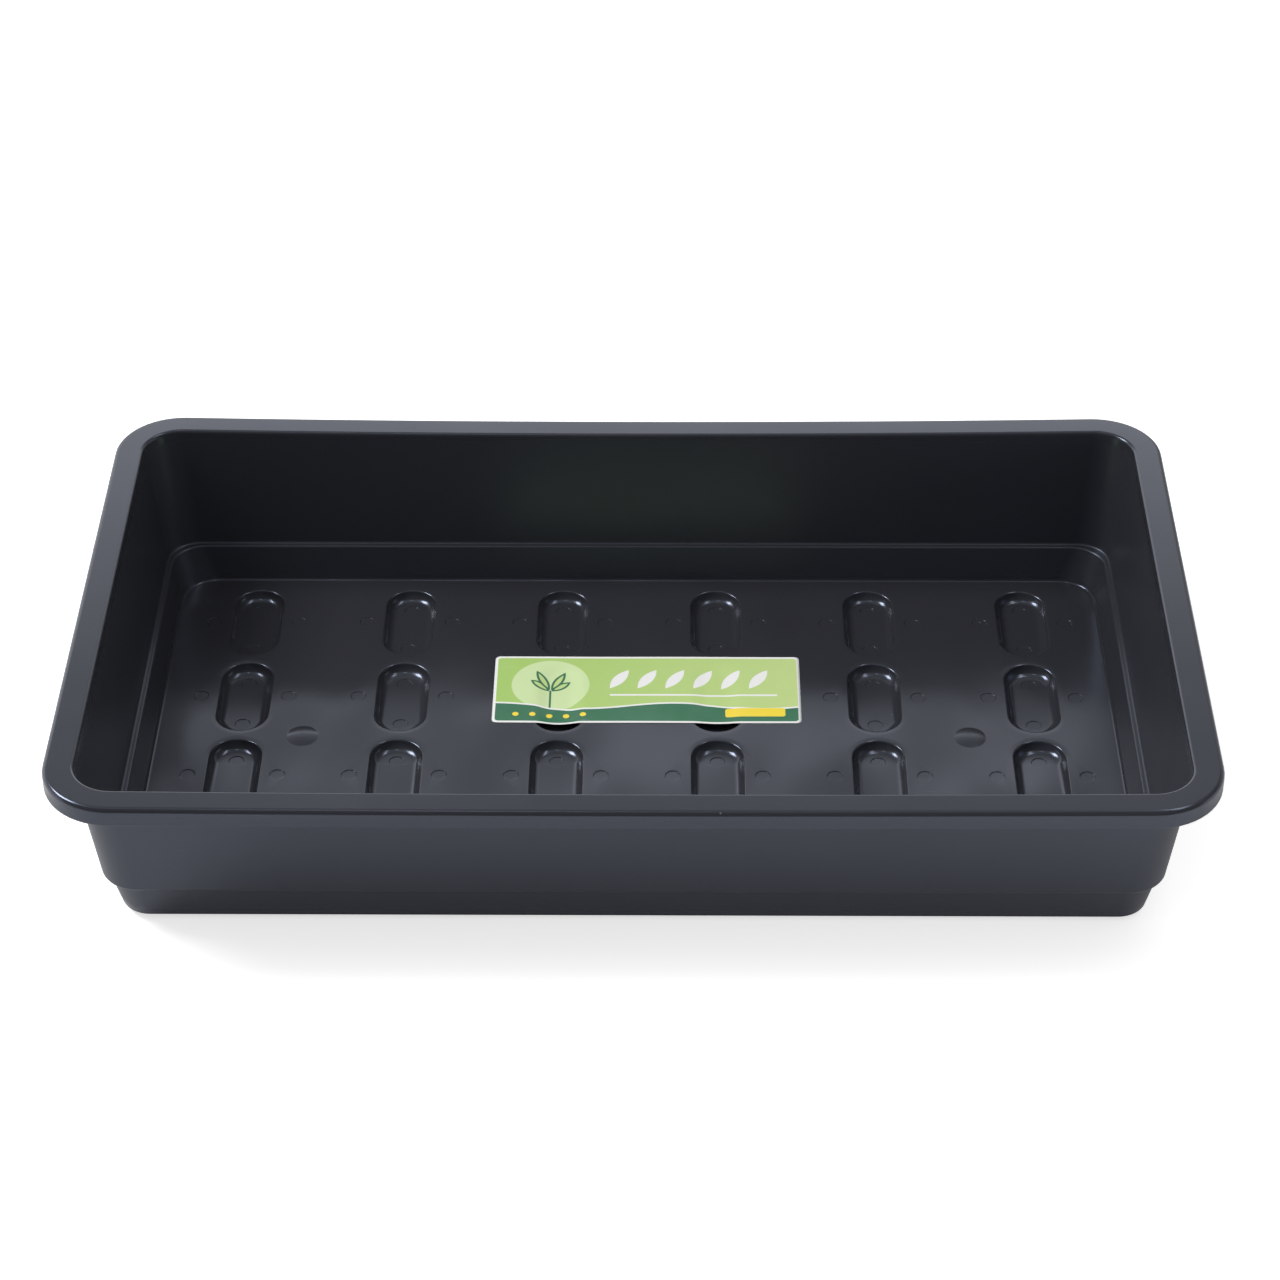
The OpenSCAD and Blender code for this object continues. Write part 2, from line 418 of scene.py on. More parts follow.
def rounded_ring(tray, station):
    """Ring of points round the tray at one station of its profile, with the sag of the real moulding."""
    offset, height, axis = station
    ax = tray.length / 2 - axis
    ay = tray.width / 2 - axis
    radius = axis - offset
    flat = []
    corners = ((ax, ay), (-ax, ay), (-ax, -ay), (ax, -ay))
    for quarter, (cx, cy) in enumerate(corners):
        for k in range(CORNER_STEPS + 1):
            turn = (quarter + k / CORNER_STEPS) * math.pi / 2
            flat.append((cx + radius * math.cos(turn), cy + radius * math.sin(turn)))
        next_x, next_y = corners[(quarter + 1) % 4]
        turn = (quarter + 1) * math.pi / 2
        ahead = (next_x + radius * math.cos(turn), next_y + radius * math.sin(turn))
        here = flat[-1]
        steps = LONG_STEPS if quarter % 2 == 0 else SHORT_STEPS
        for k in range(1, steps):
            t = k / steps
            flat.append((here[0] + (ahead[0] - here[0]) * t, here[1] + (ahead[1] - here[1]) * t))
    ledge_z = tray.floor_height + tray.ledge_rise
    rise = max(0.0, min(1.0, (height - ledge_z) / (tray.height - ledge_z)))
    points = []
    for x, y in flat:
        hump = max(0.0, 1.0 - (2 * x / tray.length) ** 2) * rise
        points.append((x, y * (1 - 2 * tray.bow * hump / tray.width), height - tray.sag * hump))
    return points


def slot_ring(middle, half_width, straight, height):
    """Round-ended ring along Y about a middle."""
    points = []
    for end in (1, -1):
        for k in range(END_STEPS + 1):
            turn = math.pi * k / END_STEPS + (0 if end > 0 else math.pi)
            x = middle[0] + half_width * math.cos(turn)
            y = middle[1] + end * straight / 2 + half_width * math.sin(turn)
            points.append((x, y, height))
    return points


def round_ring(middle, radius, height):
    """Circle of points about a middle."""
    points = []
    for k in range(ROUND_STEPS):
        turn = math.tau * k / ROUND_STEPS
        points.append((middle[0] + radius * math.cos(turn), middle[1] + radius * math.sin(turn), height))
    return points


def pocket_path(pocket):
    """Half profile of a pocket, from the floor to its bottom, with the floor at height 0."""
    half = pocket.width / 2
    return soften([
        (half + LEAD, 0.0, 0.0, 0.0),
        (half + pocket.halo, 0.0, HALO_RADIUS, 0.0),
        (half, -pocket.halo_drop, pocket.edge, 0.0),
        (half - pocket.run, -pocket.depth, pocket.fillet, 0.0),
        (0.0, -pocket.depth, 0.0, 0.0),
    ])


def skin_gain(run, depth, wall):
    """How much wider the outside of a sloping skin is at its bottom than the inside."""
    slope = run / depth
    return wall * math.sqrt(1 + slope * slope) - wall * slope


def foot_path(pocket, wall):
    """Half profile of the foot that a pocket makes under the base."""
    gain = skin_gain(pocket.foot_run, pocket.foot_depth, wall)
    bottom = pocket.width / 2 - pocket.foot_run + gain
    top = bottom + pocket.foot_run
    return soften([
        (top + LEAD, -wall, 0.0, 0.0),
        (top, -wall, FOOT_ROOT, 0.0),
        (bottom, -wall - pocket.foot_depth, FOOT_EDGE, 0.0),
        (0.0, -wall - pocket.foot_depth, 0.0, 0.0),
    ])


def gate_paths(pocket, wall):
    """Half profiles of a gate button's dome and of the swelling under it."""
    half = pocket.gate_width / 2
    bottom = half - pocket.gate_run + skin_gain(pocket.gate_run, pocket.gate_depth, wall)
    top = bottom + pocket.gate_run
    dome = [(half * s, pocket.gate_dome * (1 - s * s), 0.0) for s in DOME_RINGS]
    swelling = soften([
        (top + LEAD, -wall, 0.0, 0.0),
        (top, -wall, SWELLING_ROOT, 0.0),
        (bottom, -wall - pocket.gate_depth, SWELLING_EDGE, 0.0),
        (0.0, -wall - pocket.gate_depth, 0.0, 0.0),
    ], 4)
    return dome, swelling


def pin_mark(skin, pocket, middle, height):
    """Shallow round dent that an ejector pin leaves. Returns its outer ring."""
    radius = pocket.pin_width / 2
    rings = []
    for inset, share in PIN_EDGE:
        rings.append(round_ring(middle, radius - inset * MM, height - share * pocket.pin_depth))
    outer, inner = skin.tube(rings)
    skin.cap(inner)
    return outer


def pocket_cell(pocket, wall):
    """One pocket with its foot and its pin marks, about its own middle, with the floor at height 0."""
    skin = Skin()
    straight = pocket.length - pocket.width
    path = pocket_path(pocket)
    _, bottom = skin.tube([slot_ring((0, 0), w, straight, z) for w, z, _ in path])
    marks = [pin_mark(skin, pocket, (0, s * pocket.pin_end), -pocket.depth) for s in (-1, 1)]
    skin.cap(bottom, marks)
    for side in (-1, 1):
        pin_mark(skin, pocket, (side * pocket.pin_side, 0), 0.0)
    _, sole = skin.tube([slot_ring((0, 0), w, straight, z) for w, z, _ in foot_path(pocket, wall)])
    skin.cap(sole)
    return skin.mesh("pocket_cell")


def pocket_places(pocket):
    """Middles of the pockets on the floor."""
    for row in range(pocket.rows):
        for column in range(pocket.columns):
            yield (
                pocket.shift + (column - (pocket.columns - 1) / 2) * pocket.pitch_x,
                (row - (pocket.rows - 1) / 2) * pocket.pitch_y,
            )


def shell_skin(tray, pocket):
    """The shell with its floor and base, left open where the pockets and their feet go."""
    skin = Skin()
    wall = tray.wall
    top = tray.floor_height
    rings = [rounded_ring(tray, station) for station in soften(shell_profile(tray), 7)]
    inside, outside = skin.tube(rings)
    straight = pocket.length - pocket.width
    mouth = pocket_path(pocket)[0][0]
    neck = foot_path(pocket, wall)[0][0]
    dome, swelling = gate_paths(pocket, wall)
    floor_holes = []
    base_holes = []
    for x, y in pocket_places(pocket):
        floor_holes.append(skin.ring(slot_ring((x, y), mouth, straight, top)))
        base_holes.append(skin.ring(slot_ring((x, y), neck, straight, top - wall)))
        for side in (-1, 1):
            mark = round_ring((x + side * pocket.pin_side, y), pocket.pin_width / 2, top)
            floor_holes.append(skin.ring(mark))
    for side in (-1, 1):
        place = (side * pocket.gate_x, pocket.gate_y)
        upper, crown = skin.tube([round_ring(place, r, top + z) for r, z, _ in dome])
        skin.cap(crown)
        floor_holes.append(upper)
        lower, knob = skin.tube([round_ring(place, r, top + z) for r, z, _ in swelling])
        skin.cap(knob)
        base_holes.append(lower)
    skin.cap(inside, floor_holes)
    skin.cap(outside, base_holes)
    return skin.mesh("tray_shell")


def pocket_grid():
    """Geometry Nodes tree that sets a pocket cell at each place of a grid and welds it to the floor."""
    tree = bpy.data.node_groups.new("Pocket grid", "GeometryNodeTree")
    tree.is_modifier = True
    sockets = {
        "Geometry": ["Geometry"],
        "Object": ["Cell"],
        "Int": ["Columns", "Rows"],
        "Float": ["Span along", "Span across", "Shift", "Height", "Weld"],
        "Material": ["Material"],
    }
    for kind, names in sockets.items():
        for name in names:
            tree.interface.new_socket(name, in_out="INPUT", socket_type=f"NodeSocket{kind}")
    tree.interface.new_socket("Geometry", in_out="OUTPUT", socket_type="NodeSocketGeometry")

    def add(kind, **sources):
        """Outputs of a new node whose inputs are linked. An underscore stands for a space."""
        node = tree.nodes.new(kind)
        for name, source in sources.items():
            tree.links.new(source, node.inputs[name.replace("_", " ")])
        return node.outputs

    given = add("NodeGroupInput")
    grid = add(
        "GeometryNodeMeshGrid",
        Size_X=given["Span along"],
        Size_Y=given["Span across"],
        Vertices_X=given["Columns"],
        Vertices_Y=given["Rows"],
    )
    lift = add("ShaderNodeCombineXYZ", X=given["Shift"], Z=given["Height"])
    raised = add("GeometryNodeTransform", Geometry=grid["Mesh"], Translation=lift["Vector"])
    cell = add("GeometryNodeObjectInfo", Object=given["Cell"])
    placed = add("GeometryNodeInstanceOnPoints", Points=raised["Geometry"], Instance=cell["Geometry"])
    joined = tree.nodes.new("GeometryNodeJoinGeometry")
    tree.links.new(placed["Instances"], joined.inputs["Geometry"])
    tree.links.new(given["Geometry"], joined.inputs["Geometry"])
    real = add("GeometryNodeRealizeInstances", Geometry=joined.outputs["Geometry"])
    welded = add("GeometryNodeMergeByDistance", Geometry=real["Geometry"], Distance=given["Weld"])
    smooth = add("GeometryNodeSetShadeSmooth", Geometry=welded["Geometry"])
    painted = add("GeometryNodeSetMaterial", Geometry=smooth["Geometry"], Material=given["Material"])
    add("NodeGroupOutput", Geometry=painted["Geometry"])
    return tree


def evaluated_mesh(piece):
    """Plain mesh of a piece with its modifiers applied, which are then removed."""
    bpy.context.view_layer.update()
    graph = bpy.context.evaluated_depsgraph_get()
    mesh = bpy.data.meshes.new_from_object(piece.evaluated_get(graph), depsgraph=graph)
    piece.modifiers.clear()
    piece.data = mesh
    mesh.name = piece.name
    return mesh


def run_tree(piece, tree, values):
    """Puts a Geometry Nodes tree on a piece with its inputs set, and makes the result a plain mesh."""
    modifier = piece.modifiers.new(tree.name, "NODES")
    modifier.node_group = tree
    for item in tree.interface.items_tree:
        if item.item_type == "SOCKET" and item.in_out == "INPUT" and item.name in values:
            modifier[item.identifier] = values[item.name]
    return evaluated_mesh(piece)


def close_up(piece):
    """Welds a closed skin, turns its faces outwards and raises an error if it is open anywhere."""
    skin = bmesh.new()
    skin.from_mesh(piece.data)
    bmesh.ops.remove_doubles(skin, verts=skin.verts, dist=WELD / 10)
    bmesh.ops.recalc_face_normals(skin, faces=skin.faces)
    open_edges = [edge for edge in skin.edges if len(edge.link_faces) != 2]
    skin.to_mesh(piece.data)
    skin.free()
    if open_edges:
        raise RuntimeError(f"{piece.name} has {len(open_edges)} open edges")


def flatten_shading(piece):
    """Normals led by the larger faces, so that flats stay flat beside their rounded edges."""
    piece.data.polygons.foreach_set("use_smooth", [True] * len(piece.data.polygons))
    weighted = piece.modifiers.new("weighted", "WEIGHTED_NORMAL")
    weighted.mode = "FACE_AREA"
    weighted.weight = 100
    return evaluated_mesh(piece)


def new_piece(name, mesh):
    """Object at the origin that shows a mesh."""
    piece = bpy.data.objects.new(name, mesh)
    bpy.context.scene.collection.objects.link(piece)
    return piece


class Graph:
    """Short ways to add shader nodes to a tree."""

    def __init__(self, tree):
        self.tree = tree

    def add(self, kind, **settings):
        node = self.tree.nodes.new(kind)
        for name, value in settings.items():
            setattr(node, name, value)
        return node

    def put(self, socket, value):
        if isinstance(value, bpy.types.NodeSocket):
            self.tree.links.new(value, socket)
        else:
            socket.default_value = value

    def calc(self, operation, *values, clamp=False):
        node = self.add("ShaderNodeMath", operation=operation, use_clamp=clamp)
        for socket, value in zip(node.inputs, values):
            self.put(socket, value)
        return node.outputs[0]

    def mix(self, share, below, above):
        node = self.add("ShaderNodeMix", data_type="RGBA")
        self.put(node.inputs[0], share)
        self.put(node.inputs[6], rgba(below))
        self.put(node.inputs[7], rgba(above))
        return node.outputs[2]

    def noise(self, vector, scale, detail=2.0, roughness=0.5):
        node = self.add("ShaderNodeTexNoise")
        self.put(node.inputs["Vector"], vector)
        self.put(node.inputs["Scale"], scale)
        node.inputs["Detail"].default_value = detail
        node.inputs["Roughness"].default_value = roughness
        return node.outputs["Fac"]

    def split(self, vector):
        """X, Y and Z of a vector."""
        node = self.add("ShaderNodeSeparateXYZ")
        self.put(node.inputs["Vector"], vector)
        return node.outputs

    def stretched(self, vector, scale, rotation=(0.0, 0.0, 0.0)):
        """Coordinates turned and scaled."""
        node = self.add("ShaderNodeMapping")
        self.put(node.inputs["Vector"], vector)
        node.inputs["Rotation"].default_value = rotation
        node.inputs["Scale"].default_value = scale
        return node.outputs["Vector"]

    def spread(self, value, low, high):
        """Value brought from low..high to 0..1 and held there."""
        node = self.add("ShaderNodeMapRange")
        self.put(node.inputs["Value"], value)
        node.inputs["From Min"].default_value = low
        node.inputs["From Max"].default_value = high
        return node.outputs["Result"]

    def bump(self, height, distance, strength=1.0, normal=None):
        node = self.add("ShaderNodeBump")
        self.put(node.inputs["Height"], height)
        self.put(node.inputs["Strength"], strength)
        node.inputs["Distance"].default_value = distance
        if normal is not None:
            self.put(node.inputs["Normal"], normal)
        return node.outputs["Normal"]


def rgba(value):
    """Colour with an opaque alpha, or a socket as it is."""
    if isinstance(value, bpy.types.NodeSocket):
        return value
    return (*value[:3], 1.0)


def new_material(name):
    """Material with an empty tree but for its shader. Returns the material, its graph and the shader."""
    material = bpy.data.materials.new(name)
    material.use_nodes = True
    tree = material.node_tree
    tree.nodes.clear()
    graph = Graph(tree)
    shader = graph.add("ShaderNodeBsdfPrincipled")
    output = graph.add("ShaderNodeOutputMaterial")
    tree.links.new(shader.outputs["BSDF"], output.inputs["Surface"])
    return material, graph, shader


def handling_marks():
    """Node group for the hair scratches and rubbed patches of handling, 0 clean to 1 marked."""
    tree = bpy.data.node_groups.new("Handling marks", "ShaderNodeTree")
    tree.interface.new_socket("Vector", in_out="INPUT", socket_type="NodeSocketVector")
    for name in ("Scratch scale", "Patch scale"):
        tree.interface.new_socket(name, in_out="INPUT", socket_type="NodeSocketFloat")
    for name in ("Scratches", "Rubbed"):
        tree.interface.new_socket(name, in_out="OUTPUT", socket_type="NodeSocketFloat")
    graph = Graph(tree)
    given = graph.add("NodeGroupInput").outputs
    made = graph.add("NodeGroupOutput").inputs
    patches = graph.noise(given["Vector"], given["Patch scale"], 4.0)
    rubbed = graph.spread(patches, 0.5, 0.72)
    drawn_out = graph.stretched(given["Vector"], (1.0, 26.0, 26.0), (0.3, 0.2, 0.5))
    hairs = graph.noise(drawn_out, given["Scratch scale"], 1.0)
    lines = graph.spread(hairs, 0.7, 0.78)
    graph.put(made["Scratches"], graph.calc("MULTIPLY", lines, rubbed))
    graph.put(made["Rubbed"], rubbed)
    return tree


def marks_group():
    """The handling marks, made once."""
    return bpy.data.node_groups.get("Handling marks") or handling_marks()


def use_marks(graph, group, where, scratch_scale, patch_scale):
    """Places the handling marks in a material. Returns the scratches and the rubbed patches."""
    node = graph.add("ShaderNodeGroup", node_tree=group)
    graph.put(node.inputs["Vector"], where)
    node.inputs["Scratch scale"].default_value = scratch_scale
    node.inputs["Patch scale"].default_value = patch_scale
    return node.outputs["Scratches"], node.outputs["Rubbed"]


def moulded_zones(graph, where):
    """Masks of the floor with its pockets, and of the walls between the floor and the rim."""
    floor_z = TRAY_LOW.z + FLOOR_HEIGHT * MM
    floor_end, wall_start = 0.5 * MM, 5 * MM
    rim_end, wall_end = 3.5 * MM, 8 * MM
    height = graph.split(where)["Z"]
    above_floor = graph.spread(height, floor_z + floor_end, floor_z + wall_start)
    below_rim = graph.spread(height, TRAY_HIGH.z - rim_end, TRAY_HIGH.z - wall_end)
    return graph.calc("SUBTRACT", 1.0, above_floor), graph.calc("MULTIPLY", above_floor, below_rim)


def dust_specks(graph, where):
    """Mask of a few small specks, one in some of the cells of a pattern."""
    specks = graph.add("ShaderNodeTexVoronoi")
    graph.put(specks.inputs["Vector"], where)
    specks.inputs["Scale"].default_value = 42.0
    near = graph.spread(specks.outputs["Distance"], 0.022, 0.012)
    draw = graph.add("ShaderNodeSeparateColor")
    graph.put(draw.inputs["Color"], specks.outputs["Color"])
    rare = graph.spread(draw.outputs["Red"], 0.72, 0.74)
    return graph.calc("MULTIPLY", near, rare)


def moulded_plastic(finish, marks):
    """Black plastic as it leaves the mould: slow ripples, a fine grain, rubbed patches and dust."""
    material, graph, shader = new_material("moulded_black_plastic")
    where = graph.add("ShaderNodeTexCoord").outputs["Object"]
    floor, walls = moulded_zones(graph, where)
    scratches, rubbed = use_marks(graph, marks, where, scratch_scale=26.0, patch_scale=9.0)
    dust = dust_specks(graph, where)
    tone = graph.noise(where, 5.0, 3.0)
    plain = graph.mix(graph.calc("MULTIPLY", tone, TONE_SHARE), finish.black, finish.worn)
    marked = graph.mix(graph.calc("MULTIPLY", scratches, SCRATCH_SHARE), plain, finish.worn)
    graph.put(shader.inputs["Base Color"], graph.mix(dust, marked, finish.dust))
    mottle = graph.noise(where, 22.0, 4.0, 0.6)
    rough = graph.calc("MULTIPLY_ADD", mottle, MOTTLE, finish.roughness - MOTTLE / 2)
    rough = graph.calc("MULTIPLY_ADD", walls, finish.satin, rough)
    rough = graph.calc("MULTIPLY_ADD", rubbed, RUBBED_ROUGHNESS, rough)
    rough = graph.calc("MULTIPLY_ADD", scratches, RUBBED_ROUGHNESS, rough)
    rough = graph.calc("MULTIPLY_ADD", dust, DUST_ROUGHNESS, rough, clamp=True)
    graph.put(shader.inputs["Roughness"], rough)
    shader.inputs["IOR"].default_value = 1.7
    shader.inputs["Specular Tint"].default_value = rgba(finish.sheen)
    waves = graph.noise(graph.stretched(where, (1.0, 0.45, 1.0)), 16.0, 1.0)
    slow = graph.bump(waves, finish.ripple, floor)
    fine = graph.bump(graph.noise(where, 1500.0, 2.0), finish.grain, normal=slow)
    graph.put(shader.inputs["Normal"], fine)
    return material


class Print(Graph):
    """Flat shapes of a print, drawn in millimetres from the label's middle."""

    def __init__(self, tree, where):
        super().__init__(tree)
        parts = self.split(where)
        self.x = self.calc("MULTIPLY_ADD", parts["X"], 1 / MM, -LABEL_MIDDLE.x / MM)
        self.y = self.calc("MULTIPLY_ADD", parts["Y"], 1 / MM, -LABEL_MIDDLE.y / MM)
        self.sheet = None

    def lay(self, mask, ink):
        """Prints an ink over the sheet where a mask says."""
        self.sheet = self.mix(mask, self.sheet, ink)

    def away(self, cx, cy):
        """Distances from a point along X and Y."""
        return self.calc("SUBTRACT", self.x, cx), self.calc("SUBTRACT", self.y, cy)

    def inked(self, distance, soft=0.2):
        """1 where the distance to a shape is below 0, with a soft edge."""
        return self.calc("MULTIPLY_ADD", distance, -1 / soft, 0.5, clamp=True)

    def length(self, x, y):
        return self.calc("SQRT", self.calc("ADD", self.calc("MULTIPLY", x, x), self.calc("MULTIPLY", y, y)))

    def box(self, cx, cy, half_x, half_y, radius):
        x, y = (self.calc("ABSOLUTE", span) for span in self.away(cx, cy))
        over_x = self.calc("MAXIMUM", self.calc("SUBTRACT", x, half_x - radius), 0.0)
        over_y = self.calc("MAXIMUM", self.calc("SUBTRACT", y, half_y - radius), 0.0)
        return self.inked(self.calc("SUBTRACT", self.length(over_x, over_y), radius))

    def disc(self, cx, cy, radius):
        return self.inked(self.calc("SUBTRACT", self.length(*self.away(cx, cy)), radius))

    def leaf(self, x, y, degrees, length, width):
        """Pointed leaf about x, y, which are distances from its middle."""
        c = math.cos(math.radians(degrees))
        s = math.sin(math.radians(degrees))
        along = self.calc("ADD", self.calc("MULTIPLY", x, c), self.calc("MULTIPLY", y, s))
        across = self.calc("SUBTRACT", self.calc("MULTIPLY", y, c), self.calc("MULTIPLY", x, s))
        share = self.calc("MULTIPLY", along, 2 / length)
        half = self.calc("MULTIPLY_ADD", self.calc("MULTIPLY", share, share), -width / 2, width / 2)
        return self.inked(self.calc("SUBTRACT", self.calc("ABSOLUTE", across), half))

    def leaf_at(self, cx, cy, degrees, length, width):
        return self.leaf(*self.away(cx, cy), degrees, length, width)

    def below_wave(self, level, height, wave, shift):
        swing = self.calc("SINE", self.calc("MULTIPLY_ADD", self.x, math.tau / wave, shift))
        return self.inked(self.calc("SUBTRACT", self.y, self.calc("MULTIPLY_ADD", swing, height, level)))


def label_print(label, marks):
    """Coated print: lime ground, dark wave, pale disc with a sprig, a row of leaves and a white border."""
    material, graph, shader = new_material("label_print")
    where = graph.add("ShaderNodeTexCoord").outputs["Object"]
    ink = Print(graph.tree, where)
    half_x = label.length / MM / 2
    half_y = label.width / MM / 2
    border = 1.5
    sprig_x, sprig_y = -52.0, -1.0
    wave = (2.4, 96.0, 0.6)
    row_x, row_y, row_half = 25.0, 9.0, 45.0
    leaf_pitch = 15.0
    fade = ink.spread(ink.x, -half_x, half_x)
    ink.sheet = ink.mix(fade, label.ground, label.ground_pale)
    ink.lay(ink.disc(sprig_x, 4.0, 21.0), label.disc)
    ink.lay(ink.below_wave(-13.5, *wave), label.paper)
    ink.lay(ink.below_wave(-14.8, *wave), label.band)
    for lean, reach in SPRIG:
        cx = sprig_x + 0.55 * reach * math.cos(math.radians(lean))
        cy = sprig_y + 0.62 * reach * math.sin(math.radians(lean))
        ink.lay(ink.leaf_at(cx, cy, lean, reach, 5.2), label.band)
        ink.lay(ink.leaf_at(cx, cy, lean, reach * 0.72, 2.6), label.ground_pale)
    ink.lay(ink.box(sprig_x, -7.0, 0.55, 7.5, 0.5), label.band)
    across = ink.calc("WRAP", ink.x, leaf_pitch / 2, -leaf_pitch / 2)
    along = ink.calc("SUBTRACT", ink.y, row_y)
    leaves = ink.leaf(across, along, 58.0, 19.0, 6.4)
    ink.lay(ink.calc("MULTIPLY", leaves, ink.box(row_x, row_y, row_half, 14.0, 1.0)), label.paper)
    ink.lay(ink.box(row_x, -4.8, row_half, 0.7, 0.6), label.paper)
    ink.lay(ink.box(58.0, -19.6, 16.0, 3.6, 1.4), label.block)
    for k in range(5):
        ink.lay(ink.disc(-70.0 + 9.0 * k, -21.5, 1.7), label.block)
    inside = ink.box(0.0, 0.0, half_x - border, half_y - border, 2.0)
    sheet = ink.mix(inside, label.paper, ink.sheet)
    scratches, rubbed = use_marks(graph, marks, where, scratch_scale=60.0, patch_scale=30.0)
    cloud = graph.noise(where, 60.0, 3.0)
    sheet = graph.mix(graph.calc("MULTIPLY", cloud, 0.08), sheet, label.paper)
    sheet = graph.mix(graph.calc("MULTIPLY", scratches, 0.25), sheet, label.paper)
    graph.put(shader.inputs["Base Color"], sheet)
    graph.put(shader.inputs["Roughness"], graph.calc("MULTIPLY_ADD", rubbed, 0.12, 0.36))
    fibres = graph.bump(graph.noise(where, 900.0, 3.0), 0.01 * MM)
    graph.put(shader.inputs["Normal"], fibres)
    return material


def pocket_depth_at(pocket, x, y):
    """How far a place lies inside the rim of its nearest pocket, in metres, or 0 outside."""
    across = x - pocket.shift
    column = round(across / pocket.pitch_x - 0.5) + 0.5
    row = round(y / pocket.pitch_y - 0.5) + 0.5
    dx = across - column * pocket.pitch_x
    dy = y - row * pocket.pitch_y
    past = max(0.0, abs(dy) - (pocket.length - pocket.width) / 2)
    return max(0.0, pocket.width / 2 - math.hypot(dx, past))


def label_mesh(label, pocket, floor_z):
    """Thin film on the floor, that sinks a little where it crosses a pocket."""
    half_l = label.length / 2
    half_w = label.width / 2
    inner = half_w - label.corner
    slope = 9 * MM
    right_share = 0.45
    rest = 0.25 * MM
    swell = 0.05 * MM
    bend = [math.radians(90 * k / FILM_BEND) for k in range(FILM_BEND + 1)]
    corner_rows = [inner + label.corner * math.sin(a) for a in bend]
    flat_rows = [-inner + 2 * inner * k / FILM_ROWS for k in range(1, FILM_ROWS)]
    levels = [-y for y in reversed(corner_rows)] + flat_rows + corner_rows
    points = []
    for y in levels:
        past = max(0.0, abs(y) - inner)
        short = label.corner - math.sqrt(max(0.0, label.corner**2 - past**2))
        for k in range(FILM_COLUMNS + 1):
            px = LABEL_MIDDLE.x + (half_l - short) * (2 * k / FILM_COLUMNS - 1)
            py = LABEL_MIDDLE.y + y
            inside = min(1.0, pocket_depth_at(pocket, px, py) / slope)
            sink = inside * inside * (3 - 2 * inside)
            share = 1.0 if px < 0 else right_share
            lift = rest + swell * math.sin(px * 70 + 1.2 * math.sin(py * 90))
            points.append((px, py, floor_z + lift - label.dip * share * sink))
    faces = []
    step = FILM_COLUMNS + 1
    for row in range(len(levels) - 1):
        for k in range(FILM_COLUMNS):
            a = row * step + k
            faces.append((a, a + 1, a + 1 + step, a + step))
    mesh = bpy.data.meshes.new("label_film")
    mesh.from_pydata(points, [], faces)
    mesh.validate()
    return mesh


class TRAY_OT_shell(bpy.types.Operator):
    """Build the moulded tray with its pockets and feet"""

    bl_idname = "garden_tray.shell"
    bl_label = "Build the tray"

    def execute(self, context):
        scene = context.scene
        tray = scene.tray_shape
        pocket = scene.pocket_shape
        plastic = moulded_plastic(scene.plastic_finish, marks_group())
        cell = new_piece("pocket_cell", pocket_cell(pocket, tray.wall))
        shell = new_piece("tray_shell", shell_skin(tray, pocket))
        run_tree(shell, pocket_grid(), {
            "Cell": cell,
            "Columns": pocket.columns,
            "Rows": pocket.rows,
            "Span along": (pocket.columns - 1) * pocket.pitch_x,
            "Span across": (pocket.rows - 1) * pocket.pitch_y,
            "Shift": pocket.shift,
            "Height": tray.floor_height,
            "Weld": WELD,
            "Material": plastic,
        })
        bpy.data.objects.remove(cell)
        close_up(shell)
        flatten_shading(shell)
        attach(shell, "root")
        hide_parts("tray")
        return {"FINISHED"}


class TRAY_OT_label(bpy.types.Operator):
    """Lay the printed label on the floor of the tray"""

    bl_idname = "garden_tray.label"
    bl_label = "Lay the label"

    def execute(self, context):
        scene = context.scene
        label = scene.label_shape
        film = new_piece("label_film", label_mesh(label, scene.pocket_shape, scene.tray_shape.floor_height))
        film.data.materials.append(label_print(label, marks_group()))
        film.data.polygons.foreach_set("use_smooth", [True] * len(film.data.polygons))
        solid = film.modifiers.new("film", "SOLIDIFY")
        solid.thickness = label.film
        solid.offset = -1.0
        evaluated_mesh(film)
        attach(film, "root")
        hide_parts("label")
        return {"FINISHED"}


def studio_floor(studio):
    """Pale floor that shows white to the camera and keeps the shadow of the tray."""
    material, graph, shader = new_material("studio_floor")
    where = graph.add("ShaderNodeTexCoord").outputs["Object"]
    tone = graph.spread(graph.noise(where, 3.0, 2.0), 0.2, 0.8)
    pale = [0.97 * value for value in studio.floor]
    graph.put(shader.inputs["Base Color"], graph.mix(tone, pale, studio.floor))
    shader.inputs["Roughness"].default_value = 0.8
    shader.inputs["Specular IOR Level"].default_value = 0.0
    seen = graph.add("ShaderNodeLightPath").outputs["Is Camera Ray"]
    shader.inputs["Emission Color"].default_value = (1.0, 1.0, 1.0, 1.0)
    graph.put(shader.inputs["Emission Strength"], graph.calc("MULTIPLY", seen, studio.lift))
    return material


def panel_light(name, place, target, panel, watts):
    """Area light that faces a target."""
    data = bpy.data.lights.new(name, "AREA")
    data.shape = "RECTANGLE"
    data.size, data.size_y = panel
    data.energy = watts
    light = bpy.data.objects.new(name, data)
    light.location = place
    light.rotation_euler = (Vector(target) - Vector(place)).to_track_quat("-Z", "Y").to_euler()
    bpy.context.scene.collection.objects.link(light)
    return light


